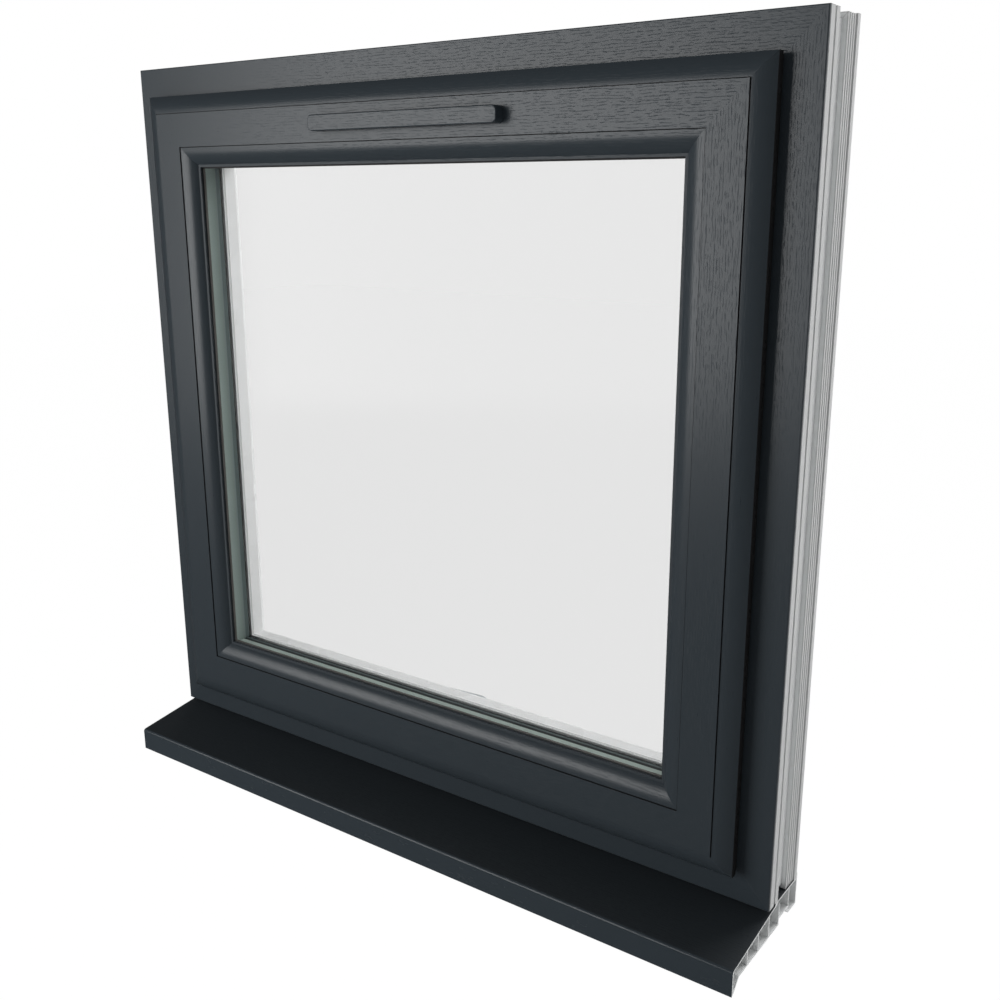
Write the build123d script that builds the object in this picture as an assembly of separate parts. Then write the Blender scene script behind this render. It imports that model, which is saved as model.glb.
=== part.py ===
"""Top-hung casement window with a projecting cill, as an assembly of separate pieces.

Millimetres. X runs along the window, -Y is the outside, +Z is up. The origin is on the flat
underside of the cill, under the middle of the window and in line with the frame's outer face.
"""
import os

from build123d import *

os.makedirs("parts", exist_ok=True)

# Overall sizes
frame_width = 825.0
frame_height = 795.0
frame_depth = 70.0
cill_thickness = 30.0        # underside of the cill to the deck that the frame stands on
fit = 0.3                    # running clearance between pieces that seat on each other

# Outer frame member, measured inward from the frame's outer edge
frame_nib = 42.0             # end of the outside leg, behind the sash flange
frame_floor = 40.0           # floor of the rebate that the sash shuts into
frame_leg = 62.0             # end of the inside leg
nib_depth = 8.0
channel_depth = 5.5          # recess on the outer side
channel_start, channel_end = 22.2, 43.6
rib_gap_start, rib_gap_end = 11.9, 15.4
rib_gap_depth = 3.0
fin_count, fin_drop, fin_depth = 4, 0.8, 1.2
fin_end = 61.2
back_band = 6.4              # plain land at the inside edge of the outer side

# Sash member
sash_reveal = 32.3           # frame face that shows round the sash
flange_seal = 3.0            # gap for the seal between flange and frame
hardware_gap = 14.0          # rebate floor of the frame to the back of the sash
sash_face = 75.1             # outer edge of the sash to the end of the inner moulding
sash_proud = 23.2            # sash face in front of the frame face
edge_proud = 14.1            # outer edge of the sash in front of the frame face
moulding_width = 19.9        # outer moulding, edge to quirk
inner_moulding = 19.2        # inner moulding, quirk to land
quirk = 0.8                  # width of the grooves beside the mouldings
quirk_step = 1.2             # mouldings start this far below the flat
quirk_depth = 2.2            # groove floor below the flat
inner_proud = 13.6           # inner end of the moulding in front of the frame face
land_width = 2.6             # flat lip beside the glass
lip_thickness = 2.8
sash_depth = 70.0

# Sealed glass unit
pane_thickness = 4.0
cavity = 20.0
gasket_thickness = 3.0
gasket_sight = 1.6           # outer gasket that shows past the lip
edge_cover = 15.0            # glass held behind the lip
packer_thickness = 4.5
spacer_height = 12.0
seal_height = 3.0
bead_sight = 2.0             # bead stops this far short of the lip's edge
bead_foot = 6.0
bead_nose = 9.0              # size of the rounded inner edge of the bead

# Cill
cill_projection = 78.0       # frame face to the nose
cill_back = 1.8              # upstand behind the frame
cill_horn = 0.0              # cill past the frame at each end
cill_front_drop = 16.4       # frame's underside to the front top edge
nose_drop = 13.0             # drip nose below the underside
nose_width = 14.0
cill_wall = 1.8
web = 1.5
web_pitch = 25.0
upstand = 4.5
deck_start = 18.0
deck_rise = 2.8
foot_start, foot_slot, foot_rise = 28.5, 16.0, 7.0
front_radius = 2.5

# Trickle vent on the top rail
vent_length = 235.0
vent_height = 15.8
vent_depth = 12.4
vent_wall = 1.6
vent_centre_x = 7.0
vent_corner = 5.5
inner_vent_length, inner_vent_height, inner_vent_depth = 250.0, 22.0, 9.0
flap_depth = 5.0

# Handle on the inside of the bottom rail
handle_x = 20.6
base_length, base_width, base_depth = 118.0, 26.0, 10.0
lever_length, lever_width, lever_thickness = 122.0, 24.0, 9.0
lever_tip = 15.0             # width of the lever at its free end
neck_diameter, neck_height = 20.0, 14.0

# Hidden hardware
stay_length, stay_width, stay_drop = 300.0, 20.0, 48.0
track_thickness, plate_thickness = 3.0, 2.5
lock_length, lock_width, lock_thickness = 560.0, 16.0, 2.5
keep_length, keep_offset = 40.0, 190.0

# Derived places
frame_base = cill_thickness
frame_middle = frame_base + frame_height / 2
half_width = frame_width / 2
sash_edge = sash_reveal
sash_side = frame_floor + hardware_gap
sash_end = sash_edge + sash_face
sight = sash_end + land_width
sash_front = -sash_proud
sash_back = sash_front + sash_depth
lip_back = -inner_proud + lip_thickness
glass_front = lip_back + gasket_thickness
cavity_front = glass_front + pane_thickness
cavity_back = cavity_front + cavity
glass_back = cavity_back + pane_thickness
bead_front = glass_back + gasket_thickness
glass_edge = sight - edge_cover
rebate = glass_edge - packer_thickness
leg_front = sash_back + flange_seal
cill_length = frame_width + 2 * cill_horn
handle_line = (frame_leg + rebate) / 2     # spindle in the middle of the rail's inside face


def at(point):
    """A point of a section: (distance in from the outer edge, depth)."""
    return (0.0, point[1], point[0])


def outline(*steps):
    """Closed section face; a step is a point, or (via, end) for an arc."""
    edges, here = [], steps[0]
    for step in steps[1:] + (steps[0],):
        if isinstance(step[0], tuple):
            via, end = step
            edges.append(ThreePointArc(at(here), at(via), at(end)))
        else:
            end = step
            edges.append(Line(at(here), at(end)))
        here = end
    return make_face(edges)


def quarter(start, end, bulge):
    """Arc step from start to end whose middle is pushed out by bulge, left of the way."""
    du, dy = end[0] - start[0], end[1] - start[1]
    size = (du * du + dy * dy) ** 0.5
    via = ((start[0] + end[0]) / 2 - bulge * dy / size, (start[1] + end[1]) / 2 + bulge * du / size)
    return (via, end)


def ovolo(start, end):
    """Convex moulding step that runs level with the face at its higher end."""
    du, dy = abs(end[0] - start[0]), abs(end[1] - start[1])
    size = (du * du + dy * dy) ** 0.5
    return quarter(start, end, -size / 2 * (size - du) / dy)


def place(shape, side, width=frame_width, height=frame_height):
    """Turns a bottom member to its side of the rectangle."""
    turn = {"bottom": 0, "left": 90, "top": 180, "right": -90}[side]
    spot = {"bottom": (0, 0, -height / 2), "top": (0, 0, height / 2), "left": (-width / 2, 0, 0),
            "right": (width / 2, 0, 0)}[side]
    return Pos(0, 0, frame_middle) * Pos(*spot) * Rot(0, turn, 0) * shape


def mitred(section, side, width=frame_width, height=frame_height):
    """One member of a mitred rectangle, cut at 45 degrees at both ends."""
    length = width if side in ("bottom", "top") else height
    bar = extrude(Pos(-length / 2, 0, 0) * section, amount=length, dir=(1, 0, 0))
    reach = min(width, height) / 2 - 1
    ends = Plane.XZ * Polygon((-length / 2, 0), (length / 2, 0), (length / 2 - reach, reach),
                              (-length / 2 + reach, reach), align=None)
    wedge = extrude(ends, amount=2 * frame_depth, both=True)
    return place(bar & wedge, side, width, height)


def ring(start, end, front, back):
    """Closed rectangular ring between two insets and two depths."""
    outer = Box(frame_width - 2 * start, back - front, frame_height - 2 * start)
    inner = Box(frame_width - 2 * end, 2 * frame_depth, frame_height - 2 * end)
    return Pos(0, (front + back) / 2, frame_middle) * (outer - inner)


def sheet(start, front, back):
    """Rectangular sheet inset from the frame's outer edge."""
    return Pos(0, (front + back) / 2, frame_middle) * Box(
        frame_width - 2 * start, back - front, frame_height - 2 * start)


def save(shape, name):
    export_step(shape, f"parts/{name}.step")


# Outer frame: ribs, channel and fins run along the outer side
fins = []
fin_pitch = (fin_end - channel_end) / (fin_count - 0.5)
for i in reversed(range(fin_count)):
    low = channel_end + i * fin_pitch
    fins += [(fin_drop, low + fin_pitch / 2), (fin_drop, low)]
    if i:
        fins += [(fin_drop + fin_depth, low), (fin_drop + fin_depth, low - fin_pitch / 2)]
frame_section = outline(
    (1.0, 0), (frame_nib, 0), (frame_nib, nib_depth), (frame_floor, nib_depth + 2),
    (frame_floor, leg_front), (frame_leg, leg_front), (frame_leg, frame_depth - 3),
    (frame_leg - 3, frame_depth), (0, frame_depth), (0, frame_depth - back_band),
    (rib_gap_depth, frame_depth - back_band), (rib_gap_depth, fin_end), *fins,
    (channel_depth, channel_end), (channel_depth, channel_start), (0, channel_start),
    (0, rib_gap_end), (rib_gap_depth, rib_gap_end), (rib_gap_depth, rib_gap_start), (0, rib_gap_start),
    (0, 1.0))
for name, side in (("frame_bottom_rail", "bottom"), ("frame_head", "top"),
                   ("frame_jamb_left", "left"), ("frame_jamb_right", "right")):
    save(mitred(frame_section, side), name)

# Sash: outer moulding, quirk, flat, quirk, inner moulding, lip and glazing rebate
outer_quirk = sash_edge + moulding_width
inner_quirk = sash_end - inner_moulding
step_back = -flange_seal - 4
moulding_top = sash_front + quirk_step
quirk_floor = sash_front + quirk_depth
sash_section = outline(
    (sash_edge, -edge_proud),
    ovolo((sash_edge, -edge_proud), (outer_quirk - quirk, moulding_top)),
    (outer_quirk - quirk, quirk_floor), (outer_quirk, quirk_floor),
    (outer_quirk, sash_front), (inner_quirk, sash_front), (inner_quirk, quirk_floor),
    (inner_quirk + quirk, quirk_floor), (inner_quirk + quirk, moulding_top),
    ovolo((inner_quirk + quirk, moulding_top), (sash_end, -inner_proud)),
    (sight, -inner_proud), (sight, lip_back), (rebate, lip_back), (rebate, sash_back),
    (sash_side, sash_back), (sash_side, -flange_seal), (sash_edge + 2, -flange_seal),
    (sash_edge + 2, step_back), (sash_edge, step_back))
for name, side in (("sash_bottom_rail", "bottom"), ("sash_top_rail", "top"),
                   ("sash_stile_left", "left"), ("sash_stile_right", "right")):
    save(mitred(sash_section, side), name)

# Glazing beads clip into the rebate behind the glass
bead_edge = sight - bead_sight
bead_section = outline(
    (bead_edge, bead_front), (bead_edge, sash_back - bead_nose),
    quarter((bead_edge, sash_back - bead_nose), (bead_edge - bead_nose, sash_back), -2.2),
    (rebate + fit, sash_back), (rebate + fit, sash_back - bead_foot),
    (glass_edge + fit, sash_back - bead_foot - 4), (glass_edge + fit, bead_front))
for name, side in (("glazing_bead_bottom", "bottom"), ("glazing_bead_top", "top"),
                   ("glazing_bead_left", "left"), ("glazing_bead_right", "right")):
    save(mitred(bead_section, side), name)

# Sealed unit and its gaskets
save(sheet(glass_edge, glass_front, cavity_front), "glass_pane_outer")
save(sheet(glass_edge, cavity_back, glass_back), "glass_pane_inner")
save(ring(glass_edge + seal_height, glass_edge + spacer_height, cavity_front, cavity_back), "glass_spacer_bar")
save(ring(glass_edge, glass_edge + seal_height, cavity_front, cavity_back), "glass_edge_seal")
save(ring(glass_edge + 2, sight + gasket_sight, lip_back, glass_front), "glazing_gasket_outer")
save(ring(glass_edge + 2, bead_edge - 0.5, glass_back, bead_front), "glazing_gasket_inner")
save(ring(sash_edge + 2.5, frame_nib - 0.5, -flange_seal, 0), "frame_weather_seal")
save(ring(sash_side + 1.5, frame_leg - 0.5, sash_back, leg_front), "sash_inner_seal")

# Packers under, over and beside the glass
packer = []
pack_x = frame_width / 2 - rebate - 100
for x in (-pack_x, pack_x):
    for side in ("bottom", "top"):
        block = Pos(x, (glass_front + glass_back) / 2, rebate + packer_thickness / 2) * Box(
            80, glass_back - glass_front, packer_thickness)
        packer.append(place(block, side))
pack_z = frame_height / 2 - rebate - 100
for z in (-pack_z, pack_z):
    for side in ("left", "right"):
        block = Pos(z, (glass_front + glass_back) / 2, rebate + packer_thickness / 2) * Box(
            80, glass_back - glass_front, packer_thickness)
        packer.append(place(block, side))
save(Compound(children=packer), "glazing_packers")

# Cill: hollow, open at the ends, with webs, drip nose, rear foot and upstand
nose = -cill_projection
back = frame_depth + cill_back
low_top = cill_thickness - cill_front_drop
slope_end = cill_thickness - deck_rise
deck = cill_thickness


def slope(y):
    return low_top + (slope_end - low_top) * (y - nose) / (deck_start - 2 - nose)


cill_outer = outline(
    (low_top - front_radius, nose),
    ((low_top - 0.3 * front_radius, nose + 0.3 * front_radius), (low_top + 0.3, nose + front_radius)),
    (slope_end, deck_start - 2), (deck, deck_start + 1), (deck, frame_depth),
    (deck + upstand, frame_depth), (deck + upstand, back), (0, back),
    (0, foot_start + foot_slot + 8), (foot_rise, foot_start + foot_slot), (foot_rise, foot_start),
    (0, foot_start), (0, nose + nose_width), (-nose_drop + 3, nose + 4.5), (-nose_drop, nose))
cill_body = extrude(Pos(-cill_length / 2, 0, 0) * cill_outer, amount=cill_length, dir=(1, 0, 0))
t = cill_wall
first_web = nose + 30.5
chambers = [outline(
    (low_top - front_radius - 1, nose + t), (slope(nose + t + 2) - t, nose + t + 2),
    (slope(first_web) - t, first_web), (t, first_web), (t, nose + nose_width - 0.8),
    (-nose_drop + 5, nose + 4.5), (-nose_drop + 5, nose + t))]
left = first_web + web
while left < foot_start - t - web_pitch + 5:
    right = min(left + web_pitch - web, foot_start - t)
    top_left, top_right = slope(left) - t, slope(right) - t
    chambers.append(outline((t, left), (top_left, left), (top_right, right), (t, right)))
    left = right + web
middle_top = deck - t
chambers.append(outline((foot_rise + t, left), (middle_top - deck_rise - 0.6, left), (middle_top, deck_start + 3),
                        (middle_top, foot_start + foot_slot + 6), (foot_rise + t, foot_start + foot_slot + 6)))
chambers.append(outline(
    (t, foot_start + foot_slot + 9.5), (foot_rise + t, foot_start + foot_slot + 6 + web),
    (middle_top, foot_start + foot_slot + 6 + web), (middle_top, back - t), (t, back - t)))
for chamber in chambers:
    cill_body -= extrude(Pos(-cill_length / 2 - 1, 0, 0) * chamber, amount=cill_length + 2, dir=(1, 0, 0))
save(cill_body, "cill")

# Trickle vent: canopy outside, body and flap inside, both on the top rail
rail_line = frame_base + frame_height - (outer_quirk + inner_quirk) / 2
shell = extrude(Plane.XZ * RectangleRounded(vent_length, vent_height, vent_corner), amount=vent_depth)
shell = fillet(shell.faces().sort_by(Axis.Y)[0].edges(), 1.2)
core = extrude(Plane.XZ * RectangleRounded(vent_length - 2 * vent_wall, vent_height - 2 * vent_wall,
                                           vent_corner - vent_wall), amount=vent_depth - vent_wall)
save(Pos(vent_centre_x, sash_front, rail_line) * (shell - core), "vent_canopy")
inner_line = frame_base + frame_height - (frame_leg + rebate) / 2
inner_shell = extrude(Plane.XZ * RectangleRounded(inner_vent_length, inner_vent_height, 3),
                      amount=-inner_vent_depth)
inner_shell = fillet(inner_shell.faces().sort_by(Axis.Y)[-1].edges(), 1.5)
slot = Pos(0, inner_vent_depth, 0) * Box(inner_vent_length - 40, 2 * flap_depth - 2, inner_vent_height - 10)
save(Pos(vent_centre_x, sash_back, inner_line) * (inner_shell - slot), "vent_inner_body")
flap = Pos(0, inner_vent_depth - flap_depth + 1 + flap_depth / 2, 0) * Box(
    inner_vent_length - 40 - 2 * fit, flap_depth, inner_vent_height - 10 - 2 * fit)
flap = fillet(flap.faces().sort_by(Axis.Y)[-1].edges(), 1.0)
save(Pos(vent_centre_x, sash_back, inner_line) * flap, "vent_inner_flap")

# Handle: plate on the bottom rail and lever lying along it
spindle = Pos(handle_x, sash_back, frame_base + handle_line)
reach = base_length / 2 - base_width / 2
plate = extrude(Plane.XZ * SlotOverall(base_length, base_width), amount=-base_depth)
plate = fillet(plate.faces().sort_by(Axis.Y)[-1].edges(), 2.0)
save(spindle * Pos(-reach, 0, 0) * plate, "handle_base")
neck = Rot(-90, 0, 0) * Cylinder(neck_diameter / 2, neck_height, align=(Align.CENTER, Align.CENTER, Align.MIN))
free_end = lever_tip / 2 - lever_length + lever_width / 2
grip = extrude(Plane.XZ * make_hull(
    (Circle(lever_width / 2).edge(), (Pos(free_end, 0) * Circle(lever_tip / 2)).edge())), amount=-lever_thickness)
grip = fillet(grip.faces().sort_by(Axis.Y)[-1].edges(), 2.5)
lever = neck + Pos(0, neck_height - 1, 0) * grip
save(spindle * Pos(0, base_depth + fit, 0) * lever, "handle_lever")

# Friction stays in the rebate at both jambs, near the top
cavity_middle = (nib_depth + 2 + leg_front) / 2
for name, side in (("left", "left"), ("right", "right")):
    sign = 1 if side == "left" else -1
    along = (frame_height / 2 - frame_floor - stay_drop - stay_length / 2) * (-sign)
    track = Pos(along, cavity_middle, frame_floor + track_thickness / 2) * Box(
        stay_length, stay_width, track_thickness)
    bar = Pos(along, cavity_middle, sash_side - plate_thickness / 2) * Box(
        stay_length - 60, stay_width - 4, plate_thickness)
    low = frame_floor + track_thickness
    high = sash_side - plate_thickness
    arm = Pos(along, cavity_middle, (low + high) / 2) * (
        Box(stay_length - 90, stay_width - 6, high - low - 4)
        + Pos(-(stay_length - 120) / 2, 0, 0) * Cylinder(4, high - low)
        + Pos((stay_length - 120) / 2, 0, 0) * Cylinder(4, high - low))
    save(place(track, side), f"stay_track_{name}")
    save(place(arm, side), f"stay_arm_{name}")
    save(place(bar, side), f"stay_sash_bar_{name}")

# Lock rod on the sash's bottom edge and two keeps on the frame
rod = Pos(0, cavity_middle, sash_side - lock_thickness / 2) * Box(lock_length, lock_width, lock_thickness)
for x in (-keep_offset, keep_offset):
    rod += Pos(x, cavity_middle, sash_side - lock_thickness - 3) * Cylinder(3.5, 6)
save(place(rod, "bottom"), "lock_rod")
for name, x in (("left", -keep_offset), ("right", keep_offset)):
    keep = Pos(x, cavity_middle, frame_floor + 2) * Box(keep_length, lock_width + 8, 4)
    save(place(keep, "bottom"), f"lock_keep_{name}")
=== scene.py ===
"""Looks of the top-hung window: materials, small details, studio light and the photograph's camera."""
import math

import bpy
from mathutils import Matrix, Vector


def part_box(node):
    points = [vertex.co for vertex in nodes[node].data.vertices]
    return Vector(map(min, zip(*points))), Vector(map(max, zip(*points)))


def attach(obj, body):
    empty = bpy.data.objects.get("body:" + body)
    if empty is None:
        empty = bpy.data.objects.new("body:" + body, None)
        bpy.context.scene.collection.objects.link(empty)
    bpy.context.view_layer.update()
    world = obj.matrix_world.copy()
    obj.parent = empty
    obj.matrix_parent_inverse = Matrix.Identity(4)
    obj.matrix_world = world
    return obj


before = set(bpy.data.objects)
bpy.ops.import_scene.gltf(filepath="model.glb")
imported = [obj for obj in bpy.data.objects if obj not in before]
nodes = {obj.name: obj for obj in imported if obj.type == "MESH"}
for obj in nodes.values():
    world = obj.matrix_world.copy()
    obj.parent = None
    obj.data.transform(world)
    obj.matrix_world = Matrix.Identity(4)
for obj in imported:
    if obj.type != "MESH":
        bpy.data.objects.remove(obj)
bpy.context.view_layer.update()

scene = bpy.context.scene

# Linear colours of the foil: flat faces, where it turns round the frame's edge, the sash's edge painted near black as
# painted shade, the cill's deck painted darker as painted shade, and the quirk grooves painted dark as painted shade
FOIL = (0.0385, 0.0488, 0.0575)
TURN_FOIL = (0.085, 0.095, 0.103)
SHADED_EDGE_FOIL = (0.0130, 0.0125, 0.0125)
SHADED_DECK_FOIL = (0.0210, 0.0265, 0.0310)
QUIRK_SHADE_FOIL = (0.018, 0.020, 0.022)

# Linear colours of the white plastic: outermost skin painted darker as painted shade, inside face, recesses, beads
# and cill painted lighter as painted light, and the weld at a mitre
PAINTED_SHADE_WHITE = (0.665, 0.67, 0.665)
INNER_WHITE = (0.79, 0.80, 0.795)
PAINTED_LIGHT_WHITE = (0.88, 0.89, 0.885)
SEAM_GREY = (0.25, 0.25, 0.24)

# Specular level of the foil, roughness of foil and white, and what each feature of the foil adds to it
GLOSS, FOIL_ROUGH, WHITE_ROUGH = 0.3725, 0.26, 0.33
FIBRE_ROUGH, PORE_ROUGH, LAND_ROUGH, QUIRK_ROUGH, ARRIS_ROUGH, DECK_ROUGH = 0.05, 0.25, 0.2, 0.5, -0.10, 0.30

# Noise of the fibre and of the dashes' drift: scale along the grain, scale across it, detail, roughness
FIBRE, DRIFT = (60.0, 900.0, 2.0, 0.6), (30.0, 90.0, 2.0, 0.5)

# Pores: pitch of the lines, wander, width in pitches, scale of the breaks, noise at which a dash starts and is full
LONG_DASHES = (0.0027, 1.8, 0.115, 115.0, 0.455, 0.525)
SHORT_DASHES = (0.0018, 2.8, 0.13, 170.0, 0.54, 0.60)
BREAK_CROSS = 420.0

# Pores are pressed deeper towards +X: X from and to, then depth there; height of the fibre beside a pore's 1
PORE_DEPTH, FIBRE_HEIGHT = (-0.40, 0.10, 0.45, 1.0), 0.3

# Y where the foil ends on the frame and on the sash, in metres like all places here
FOIL_END = {"frame": 0.0033, "sash": -0.0026}

# Outermost skin of the frame's sides, top and foot, and the plane of its back
FRAME_SIDE, FRAME_TOP, FRAME_FOOT, FRAME_BACK = 0.4105, 0.8230, 0.0320, 0.0695

# X beyond which the frame's foil has turned round the edge, and depth of the skin on the sash's edge that is painted
# near black as painted shade
FOIL_WRAP, SASH_SKIN = 0.4118, 0.0004

# Y behind which the narrow land beside the glass lies
LAND_FRONT = -0.0139

# Weld seam: full and gone at these distances from the mitre, and its strength
SEAM_FULL, SEAM_GONE, SEAM_SHARE = 0.0002, 0.0005, 0.45

# Middles of the quirk grooves from the sash's edge, and half their width with a hair to spare
QUIRKS, QUIRK_HALF = (0.0195, 0.0563), 0.00042

# Cill's section: Y of its front, the slope's end and the deck's end; Z of its top there; skin under the foil
CILL_FRONT, CILL_SLOPE_END, CILL_DECK_END = -0.078, 0.016, 0.0705
CILL_TOP_FRONT, CILL_TOP_BACK, CILL_DECK = 0.0136, 0.0272, 0.0300
CILL_FACE_SKIN, CILL_TOP_SKIN = 0.0007, 0.0012

# Heights between which the front of the pane's gasket turns from lighter grey to black, painted shade at the top
GASKET_SHADE_START, GASKET_SHADE_FULL = 0.55, 0.70

CAVITY_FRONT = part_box("glass_pane_outer")[1][1]


def outline(names):
    """Half width, foot and top of several nodes together."""
    boxes = [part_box(name) for name in names]
    return max(b[1][0] for b in boxes), min(b[0][2] for b in boxes), max(b[1][2] for b in boxes)


OUTLINE = {
    "frame": outline(["frame_head", "frame_bottom_rail", "frame_jamb_left", "frame_jamb_right"]),
    "sash": outline(["sash_top_rail", "sash_bottom_rail", "sash_stile_left", "sash_stile_right"]),
}


class Graph:
    """Short way to add and join the nodes of a material or a world."""

    def __init__(self, owner, output="ShaderNodeOutputMaterial"):
        self.owner = owner
        owner.use_nodes = True
        self.tree = owner.node_tree
        self.tree.nodes.clear()
        self.out = self.add(output)

    def add(self, kind, **settings):
        node = self.tree.nodes.new(kind)
        for key, value in settings.items():
            setattr(node, key, value)
        return node

    def put(self, socket, value):
        """Join a socket, or set a number or a colour of three numbers."""
        if hasattr(value, "links"):
            self.tree.links.new(value, socket)
        elif isinstance(value, tuple) and len(socket.default_value) == 4:
            socket.default_value = (*value, 1.0)
        else:
            socket.default_value = value

    def math(self, operation, a, b=0.0, clamp=False):
        node = self.add("ShaderNodeMath", operation=operation, use_clamp=clamp)
        self.put(node.inputs[0], a)
        self.put(node.inputs[1], b)
        return node.outputs[0]

    def ramp(self, value, low, high, to_low=0.0, to_high=1.0):
        node = self.add("ShaderNodeMapRange", clamp=True)
        for socket, v in zip(("Value", "From Min", "From Max", "To Min", "To Max"),
                             (value, low, high, to_low, to_high)):
            self.put(node.inputs[socket], v)
        return node.outputs["Result"]

    def mix(self, factor, a, b):
        node = self.add("ShaderNodeMix", data_type="RGBA")
        self.put(node.inputs["Factor"], factor)
        for key, value in (("A", a), ("B", b)):
            socket = next(s for s in node.inputs if s.name == key and s.type == "RGBA")
            self.put(socket, value)
        return next(s for s in node.outputs if s.type == "RGBA")

    def noise(self, vector, scale, detail=2.0, roughness=0.5):
        node = self.add("ShaderNodeTexNoise")
        for socket, v in zip(("Vector", "Scale", "Detail", "Roughness"), (vector, scale, detail, roughness)):
            self.put(node.inputs[socket], v)
        return node.outputs["Fac"]

    def place(self):
        return self.add("ShaderNodeTexCoord").outputs["Object"]

    def axes(self, vector):
        """The X, Y and Z of a vector socket."""
        node = self.add("ShaderNodeSeparateXYZ")
        self.put(node.inputs[0], vector)
        return tuple(node.outputs)

    def facing(self):
        """The X, Y and Z of the surface's normal."""
        return self.axes(self.add("ShaderNodeTexCoord").outputs["Normal"])

    def stretched(self, vector, scale):
        node = self.add("ShaderNodeMapping")
        self.put(node.inputs["Vector"], vector)
        node.inputs["Scale"].default_value = scale
        return node.outputs["Vector"]

    def blend(self, factor, a, b):
        """Mix of two shaders."""
        node = self.add("ShaderNodeMixShader")
        for socket, value in zip(node.inputs, (factor, a.outputs[0], b.outputs[0])):
            self.put(socket, value)
        return node

    def light_path(self, name, weight=1.0):
        """A Light Path output, times a number or a socket."""
        return self.math("MULTIPLY", self.add("ShaderNodeLightPath").outputs[name], weight)

    def total(self, parts):
        result = parts[0]
        for part in parts[1:]:
            result = self.math("ADD", result, part, clamp=True)
        return result

    def finish(self, node):
        """Send a shader node to the output and give what the graph belongs to."""
        self.put(self.out.inputs["Surface"], node.outputs[0])
        return self.owner

    def surface(self, colour, roughness, metallic=0.0, specular=0.5, bump=None, strength=0.2, distance=0.0002):
        """Close the material with one Principled shader and a bump."""
        node = self.add("ShaderNodeBsdfPrincipled")
        for socket, value in (("Base Color", colour), ("Roughness", roughness), ("Metallic", metallic),
                              ("Specular IOR Level", specular)):
            self.put(node.inputs[socket], value)
        if bump is not None:
            relief = self.add("ShaderNodeBump")
            for socket, value in (("Strength", strength), ("Distance", distance), ("Height", bump)):
                self.put(relief.inputs[socket], value)
            self.put(node.inputs["Normal"], relief.outputs["Normal"])
        return self.finish(node)


def new_material(name):
    return Graph(bpy.data.materials.new(name))


def foil_mask(g, kind, y, z):
    """1 on the foiled outside, 0 on the bare white plastic."""
    if kind != "cill":
        return g.math("LESS_THAN", y, FOIL_END[kind])
    front = g.math("LESS_THAN", y, CILL_FRONT + CILL_FACE_SKIN)
    rise = (CILL_TOP_BACK - CILL_TOP_FRONT) / (CILL_SLOPE_END - CILL_FRONT)
    slope = g.math("ADD", g.math("MULTIPLY", g.math("SUBTRACT", y, CILL_FRONT), rise), CILL_TOP_FRONT)
    above = g.math("GREATER_THAN", g.math("SUBTRACT", z, g.math("MINIMUM", slope, CILL_DECK)), -CILL_TOP_SKIN)
    top = g.math("MULTIPLY", above, g.math("LESS_THAN", y, CILL_DECK_END))
    not_end = g.math("LESS_THAN", g.math("ABSOLUTE", g.facing()[0]), 0.9)
    return g.math("MULTIPLY", g.math("MAXIMUM", front, top), not_end)


def grain(g, where, along, long_scale, cross, detail, roughness):
    """Noise stretched along the grain."""
    scale = {"X": (long_scale, cross, cross), "Z": (cross, cross, long_scale)}[along]
    return g.noise(g.stretched(where, scale), 1.0, detail, roughness)


def dashes(g, where, along, across, pitch, wander, width, breaks, low, high):
    """Fine wandering lines along the grain, broken into dashes."""
    drift = g.math("MULTIPLY", grain(g, where, along, *DRIFT), wander)
    phase = g.math("ADD", g.math("MULTIPLY", across, 1.0 / pitch), drift)
    near = g.math("ABSOLUTE", g.math("SUBTRACT", g.math("FRACT", phase), 0.5))
    line = g.ramp(near, width * 0.5, width, 1.0, 0.0)
    return g.math("MULTIPLY", line, g.ramp(grain(g, where, along, breaks, BREAK_CROSS, 1.0, 0.5), low, high))


def plain_white(g, kind, x, y, z):
    """Colour of the bare plastic before its mitre seams, with painted shade on the frame's outer skin and painted
    light in its recesses and on the cill.
    """
    # Painted light: the cill takes the lighter white, the sash the plain inside white
    if kind != "frame":
        return INNER_WHITE if kind == "sash" else PAINTED_LIGHT_WHITE
    # Painted shade: the frame's outermost skin takes a darker white
    skin = g.math("GREATER_THAN", g.math("ABSOLUTE", x), FRAME_SIDE)
    skin = g.math("MAXIMUM", skin, g.math("GREATER_THAN", z, FRAME_TOP))
    skin = g.math("MAXIMUM", skin, g.math("LESS_THAN", z, FRAME_FOOT))
    skin = g.math("MULTIPLY", skin, g.math("LESS_THAN", y, FRAME_BACK))
    # Painted light: the frame's recesses take a lighter white than its back
    recess = g.mix(g.math("GREATER_THAN", y, FRAME_BACK), PAINTED_LIGHT_WHITE, INNER_WHITE)
    return g.mix(skin, recess, PAINTED_SHADE_WHITE)


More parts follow.
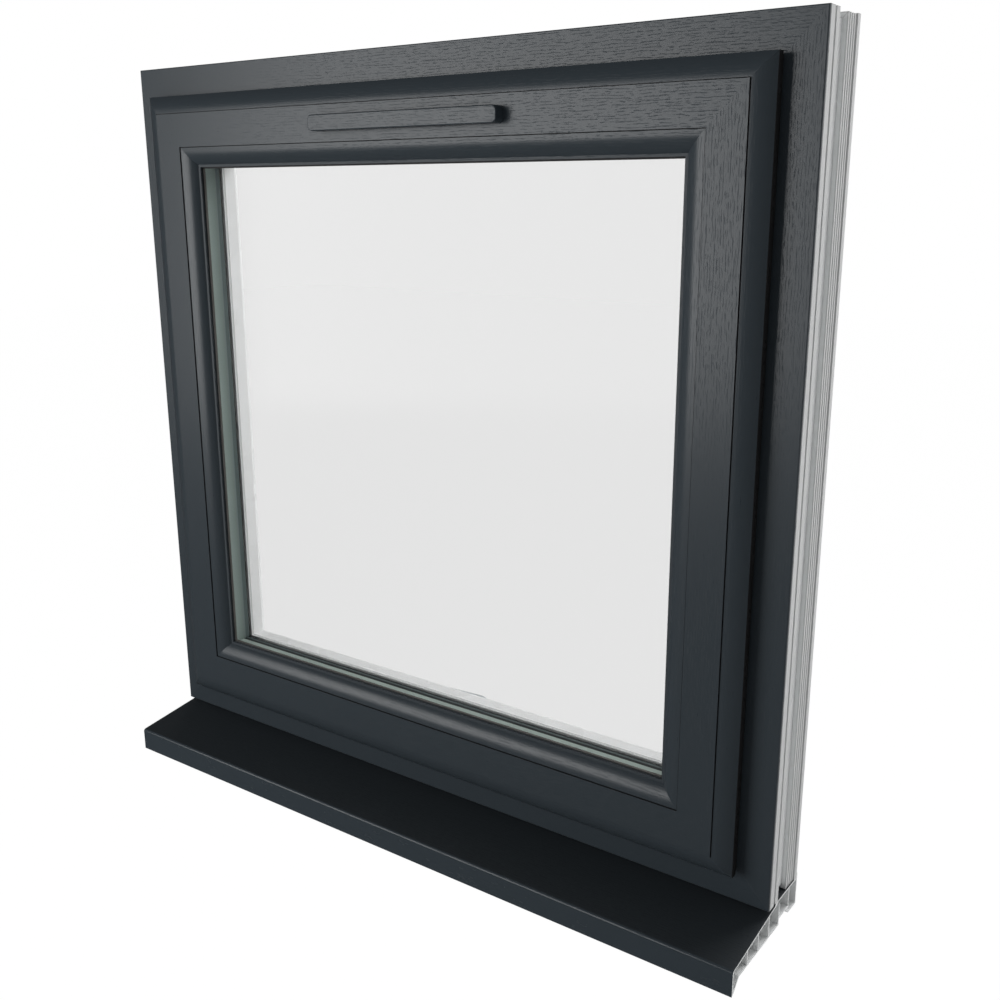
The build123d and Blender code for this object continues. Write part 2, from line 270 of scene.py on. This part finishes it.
def foil(name, kind, along, gloss=GLOSS):
    """Woodgrain foil outside and smooth white plastic elsewhere; along is the grain's axis."""
    g = new_material(name)
    where = g.place()
    x, y, z = g.axes(where)
    mask = foil_mask(g, kind, y, z)
    across = x if along == "Z" else y if kind == "cill" else z

    pores = g.math("MAXIMUM", *(dashes(g, where, along, across, *kind_of) for kind_of in (LONG_DASHES, SHORT_DASHES)))
    pores = g.math("MULTIPLY", pores, g.ramp(x, *PORE_DEPTH))
    pores = g.math("MULTIPLY", pores, mask)
    fibre = g.math("MULTIPLY", grain(g, where, along, *FIBRE), mask)
    height = g.math("SUBTRACT", g.math("MULTIPLY", fibre, FIBRE_HEIGHT), pores)

    white = plain_white(g, kind, x, y, z)
    rough = g.ramp(mask, 0.0, 1.0, WHITE_ROUGH, FOIL_ROUGH)
    rough = g.math("ADD", rough, g.math("MULTIPLY", fibre, FIBRE_ROUGH))
    if kind == "cill":
        # The flat deck is more matt than the front arris, and its upward faces are painted darker as painted shade
        deck = g.ramp(g.facing()[2], 0.9, 0.98)
        dark = g.mix(deck, FOIL, SHADED_DECK_FOIL)
        rough = g.math("ADD", rough, g.ramp(deck, 0.0, 1.0, ARRIS_ROUGH, DECK_ROUGH))
    else:
        half, foot, top = OUTLINE[kind]
        from_side = g.math("SUBTRACT", half, g.math("ABSOLUTE", x))
        from_end = g.math("MINIMUM", g.math("SUBTRACT", z, foot), g.math("SUBTRACT", top, z))
        from_mitre = g.math("ABSOLUTE", g.math("SUBTRACT", from_side, from_end))
        seam = g.ramp(from_mitre, SEAM_FULL, SEAM_GONE, 1.0, 0.0)
        white = g.mix(g.math("MULTIPLY", seam, SEAM_SHARE), white, SEAM_GREY)
    if kind == "frame":
        # The foil is pulled thin and pale where it turns round the outer edge
        dark = g.mix(g.math("GREATER_THAN", g.math("ABSOLUTE", x), FOIL_WRAP), FOIL, TURN_FOIL)
    if kind == "sash":
        # Painted shade: the outer edge that looks sideways at the frame is painted near black
        dark = g.mix(g.math("GREATER_THAN", g.math("ABSOLUTE", x), half - SASH_SKIN), FOIL, SHADED_EDGE_FOIL)
        # Painted shade: floors and walls of the two quirk grooves are painted dark, and they are matt
        inward = g.math("MINIMUM", from_side, from_end)
        near = [g.math("ABSOLUTE", g.math("SUBTRACT", inward, middle)) for middle in QUIRKS]
        quirk = g.math("LESS_THAN", g.math("MINIMUM", *near), QUIRK_HALF)
        dark = g.mix(quirk, dark, QUIRK_SHADE_FOIL)
        rough = g.math("ADD", rough, g.math("MULTIPLY", g.math("MULTIPLY", mask, quirk), QUIRK_ROUGH))
        # The narrow land beside the glass is more matt than the rest
        land = g.math("MULTIPLY", mask, g.math("GREATER_THAN", y, LAND_FRONT))
        rough = g.math("ADD", rough, g.math("MULTIPLY", land, LAND_ROUGH))
    rough = g.math("ADD", rough, g.math("MULTIPLY", pores, PORE_ROUGH), clamp=True)
    return g.surface(g.mix(mask, white, dark), rough, specular=gloss, bump=height, strength=0.3, distance=0.0001)


def moulded(name, colour, roughness, specular=0.5, grain_scale=700.0, strength=0.05, vary=0.06):
    """Plastic, rubber or coated metal with a fine moulded surface and slight unevenness."""
    g = new_material(name)
    where = g.place()
    fine = g.noise(where, grain_scale)
    broad = g.noise(where, 9.0, 3.0)
    tone = g.mix(broad, tuple(c * (1 - vary) for c in colour), colour)
    rough = g.ramp(broad, 0.3, 0.7, roughness - 0.04, roughness + 0.04)
    return g.surface(tone, rough, specular=specular, bump=fine, strength=strength, distance=0.0001)


def pane_gasket(name):
    """Rubber with a brown inner edge and a front that is lighter grey below and painted black above as painted shade.
    """
    g = new_material(name)
    where = g.place()
    front = g.math("GREATER_THAN", g.math("ABSOLUTE", g.facing()[1]), 0.7)
    dust = g.noise(where, 600.0)
    inner_edge = g.mix(dust, (0.078, 0.073, 0.068), (0.095, 0.089, 0.083))
    # Painted shade: the front turns black towards the top
    shaded_top = g.ramp(g.axes(where)[2], GASKET_SHADE_START, GASKET_SHADE_FULL)
    face = g.mix(shaded_top, (0.040, 0.042, 0.043), (0.009, 0.009, 0.010))
    return g.surface(g.mix(front, inner_edge, face), 0.55, specular=0.25, bump=dust, strength=0.06, distance=0.0001)


def brushed(name, colour, along):
    """Metal with fine lines along one axis."""
    g = new_material(name)
    lines = grain(g, g.place(), along, 20.0, 2500.0, 3.0, 0.5)
    tone = g.mix(lines, tuple(c * 0.8 for c in colour), colour)
    rough = g.ramp(lines, 0.3, 0.7, 0.28, 0.42)
    return g.surface(tone, rough, metallic=1.0, bump=lines, strength=0.08, distance=0.00005)


def clear_pane(name):
    """Thin float glass: a tint for what shows through and a weak mirror on top."""
    g = new_material(name)
    through = g.add("ShaderNodeBsdfTransparent")
    g.put(through.inputs["Color"], (0.9405, 0.9405, 0.9405))
    mirror = g.add("ShaderNodeBsdfGlossy")
    g.put(mirror.inputs["Color"], (0.95, 0.95, 0.95))
    g.put(mirror.inputs["Roughness"], g.ramp(g.noise(g.place(), 3.0, 1.0), 0.3, 0.7, 0.10, 0.13))
    fresnel = g.add("ShaderNodeFresnel")
    fresnel.inputs["IOR"].default_value = 1.08
    return g.finish(g.blend(fresnel.outputs[0], through, mirror))


def spacer_material(name):
    """Spacer between the panes: pale green-grey face, then dark and mid lines that run along it."""
    g = new_material(name)
    where = g.place()
    depth_mm = g.math("MULTIPLY", g.math("SUBTRACT", g.axes(where)[1], CAVITY_FRONT), 1000.0)
    lines = g.noise(g.stretched(where, (0.0, 1500.0, 0.0)), 1.0)
    pale = g.mix(lines, (0.27, 0.33, 0.30), (0.40, 0.47, 0.435))
    line = g.mix(lines, (0.060, 0.078, 0.078), (0.105, 0.130, 0.130))
    dark = (0.014, 0.019, 0.019)
    level = g.mix(g.ramp(depth_mm, 10.2, 10.6), pale, dark)
    level = g.mix(g.ramp(depth_mm, 14.6, 15.0), level, line)
    level = g.mix(g.ramp(depth_mm, 17.6, 18.0), level, dark)
    # On the upright runs the pale face is wider and fades inward
    fade = g.mix(g.ramp(depth_mm, 0.0, 13.0), (0.36, 0.44, 0.405), (0.20, 0.25, 0.235))
    fade = g.mix(g.math("MULTIPLY", lines, 0.5), fade, (0.10, 0.13, 0.125))
    upright = g.mix(g.ramp(depth_mm, 13.6, 14.6), fade, (0.10, 0.13, 0.128))
    side_on = g.math("GREATER_THAN", g.math("ABSOLUTE", g.facing()[0]), 0.7)
    return g.surface(g.mix(side_on, level, upright), 0.55, specular=0.1, bump=lines)


rail_frame = foil("foil_frame_rail", "frame", "X")
post_frame = foil("foil_frame_post", "frame", "Z")
rail_sash = foil("foil_sash_rail", "sash", "X")
post_sash = foil("foil_sash_post", "sash", "Z")
cill_foil = foil("foil_cill", "cill", "X", 0.3)
foot_frame = foil("foil_frame_foot", "frame", "X", 0.2)
# Painted light: the beads and the inner vent take the lighter white
bead_white = moulded("bead_plastic", PAINTED_LIGHT_WHITE, 0.28, specular=0.4, grain_scale=900.0, strength=0.03, vary=0.02)
gasket_grey = moulded("bead_gasket", (0.68, 0.70, 0.69), 0.5, specular=0.3, grain_scale=1200.0)
gasket_brown = pane_gasket("pane_gasket")
handle_white = moulded("handle_coat", (0.54, 0.575, 0.585), 0.28, grain_scale=1500.0, strength=0.03)
rubber = moulded("seal_rubber", (0.026, 0.024, 0.022), 0.6, specular=0.3, grain_scale=1200.0, strength=0.1)
sealant = moulded("edge_sealant", (0.05, 0.055, 0.055), 0.6, specular=0.3)
packer_red = moulded("packer_plastic", (0.42, 0.06, 0.05), 0.45)
steel = brushed("stay_steel", (0.56, 0.57, 0.58), "Z")
zinc = brushed("zinc_plate", (0.60, 0.60, 0.57), "X")
glass = clear_pane("float_glass")
spacer = spacer_material("spacer_bar")

# Materials by the whole name of a node, or by its beginning
FINISH = {
    "frame_head": rail_frame, "frame_bottom_rail": foot_frame,
    "frame_jamb_left": post_frame, "frame_jamb_right": post_frame,
    "sash_top_rail": rail_sash, "sash_bottom_rail": rail_sash,
    "sash_stile_left": post_sash, "sash_stile_right": post_sash,
    "cill": cill_foil, "vent_canopy": rail_sash,
    "glass_pane_outer": glass, "glass_pane_inner": glass,
    "glass_spacer_bar": spacer, "glass_edge_seal": sealant,
    "glazing_packers": packer_red, "lock_rod": zinc, "lock_keep_left": zinc, "lock_keep_right": zinc,
    "handle_base": handle_white, "handle_lever": handle_white,
    "vent_inner_body": bead_white, "vent_inner_flap": bead_white,
    "glazing_gasket_inner": gasket_grey, "glazing_gasket_outer": gasket_brown,
    "frame_weather_seal": rubber, "sash_inner_seal": rubber,
}
FINISH_BY_START = {"stay_": steel, "glazing_bead": bead_white}
for name, obj in nodes.items():
    mat = FINISH.get(name) or next(m for start, m in FINISH_BY_START.items() if name.startswith(start))
    obj.data.materials.clear()
    obj.data.materials.append(mat)


def cross_screw(name, spot, radius, rise, turn):
    """Domed cross-recess screw head standing on a face that looks along +Y."""
    rings, around = 14, 64
    half_slot, slot_reach, slot_depth = radius * 0.13, radius * 0.62, rise * 0.75
    cos, sin = math.cos(turn), math.sin(turn)
    points = []
    for i in range(rings + 1):
        r = radius * i / rings
        for j in range(around):
            angle = 2 * math.pi * j / around
            x, z = r * math.cos(angle), r * math.sin(angle)
            height = rise * (1 - (r / radius) ** 2.6)
            if r < slot_reach and (abs(x) < half_slot or abs(z) < half_slot):
                height -= slot_depth * (1 - r / slot_reach) ** 0.5
            points.append((spot[0] + x * cos - z * sin, spot[1] + height, spot[2] + x * sin + z * cos))
    faces = []
    for i in range(1, rings):
        for j in range(around):
            k = (j + 1) % around
            faces.append((i * around + j, i * around + k, (i + 1) * around + k, (i + 1) * around + j))
    faces.append(tuple(around + j for j in range(around)))
    faces.append(tuple(rings * around + j for j in reversed(range(around))))
    used = sorted({v for face in faces for v in face})
    new = {v: i for i, v in enumerate(used)}
    mesh = bpy.data.meshes.new(name)
    mesh.from_pydata([points[v] for v in used], [], [tuple(new[v] for v in face) for face in faces])
    mesh.materials.append(steel)
    obj = bpy.data.objects.new(name, mesh)
    scene.collection.objects.link(obj)
    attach(obj, "root")


# The inner vent is held by a screw near each end
SCREW_INSET, SCREW_RADIUS, SCREW_RISE = 0.0062, 0.003, 0.0009
vent_low, vent_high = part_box("vent_inner_body")
vent_middle = (vent_low[2] + vent_high[2]) / 2
for side, x, turn in (("left", vent_low[0] + SCREW_INSET, 0.5), ("right", vent_high[0] - SCREW_INSET, 1.1)):
    cross_screw("vent_screw_" + side, (x, vent_high[1], vent_middle), SCREW_RADIUS, SCREW_RISE, turn)

# The floor, seen almost evenly lit, and the world: white to the eye, a weak fill, a dark room to mirror
FLOOR_Z, FLOOR_HALF, FLOOR_GLOW, FLOOR_SHARE = -0.9, 14.0, 1.01, 0.985
WORLD_FILL, WORLD_MIRRORED = 0.245, 0.045


def pale_floor():
    s = FLOOR_HALF
    mesh = bpy.data.meshes.new("studio_floor")
    mesh.from_pydata([(-s, -s, FLOOR_Z), (s, -s, FLOOR_Z), (s, s, FLOOR_Z), (-s, s, FLOOR_Z)], [], [(0, 1, 2, 3)])
    floor = bpy.data.objects.new("studio_floor", mesh)
    scene.collection.objects.link(floor)
    floor.visible_glossy = False
    g = new_material("floor_pale")
    base = g.add("ShaderNodeBsdfDiffuse")
    g.put(base.inputs["Color"], (0.85, 0.85, 0.85))
    glow = g.add("ShaderNodeEmission")
    glow.inputs["Strength"].default_value = FLOOR_GLOW
    seen = g.total([g.light_path(ray, FLOOR_SHARE) for ray in ("Is Camera Ray", "Is Transmission Ray")])
    mesh.materials.append(g.finish(g.blend(seen, base, glow)))


def studio_world():
    scene.world = bpy.data.worlds.new("studio")
    g = Graph(scene.world, "ShaderNodeOutputWorld")

    def background(colour, strength):
        node = g.add("ShaderNodeBackground")
        g.put(node.inputs["Color"], colour)
        node.inputs["Strength"].default_value = strength
        return node

    shown = background((1.0, 1.0, 1.0), 1.0)
    fill = background((0.96, 0.98, 1.0), WORLD_FILL)
    dim = background((1.0, 1.0, 1.0), WORLD_MIRRORED)
    # What mirrors the world behind the window sees it white
    behind = g.ramp(g.axes(g.add("ShaderNodeTexCoord").outputs["Generated"])[1], 0.6, 0.9)
    mirrored = g.blend(g.light_path("Is Glossy Ray"), fill, dim)
    seen = g.total([g.light_path("Is Camera Ray"), g.light_path("Is Transmission Ray"),
                    g.light_path("Is Glossy Ray", behind)])
    g.finish(g.blend(seen, mirrored, shown))


def softbox(name, spot, aim, width, height, radiance):
    data = bpy.data.lights.new(name, "AREA")
    data.shape = "RECTANGLE"
    data.size, data.size_y = width, height
    data.energy = radiance * math.pi * width * height
    lamp = bpy.data.objects.new(name, data)
    lamp.matrix_world = (Matrix.Translation(spot)
                         @ (Vector(aim) - Vector(spot)).to_track_quat("-Z", "Y").to_matrix().to_4x4())
    lamp.visible_camera = False
    scene.collection.objects.link(lamp)


pale_floor()
studio_world()
softbox("key_front_left", (-1.36, -2.216, 0.714), (0, 0, 0.714), 1.88, 1.455, 4.4)
softbox("rim_right", (2.9, 1.5, 0.5), (0.3, 0, 0.4), 2.4, 2.4, 1.35)
softbox("back_above", (0.7, 1.6, 2.0), (0, 0, 0.3), 1.4, 1.4, 5.8)
softbox("back_low", (0.22, 1.0, 0.38), (-0.32, 0.02, 0.42), 0.8, 0.9, 0.95)
softbox("back_left", (-1.8, 3.0, 1.3), (0, 0, 0.5), 2.0, 2.0, 0.5)

# Camera solved from the photographed corners
camera_data = bpy.data.cameras.new("photo_camera")
camera_data.sensor_width = 36.0
camera_data.lens = 40.796
camera = bpy.data.objects.new("photo_camera", camera_data)
camera.matrix_world = Matrix((
    (0.8142017, -0.1499686, 0.5608789, 0.747436),
    (0.5805748, 0.2151837, -0.7852572, -0.902913),
    (-0.0029281, 0.9649899, 0.2622709, 0.686922),
    (0, 0, 0, 1)))
scene.collection.objects.link(camera)
scene.camera = camera

scene.view_settings.view_transform = "Standard"
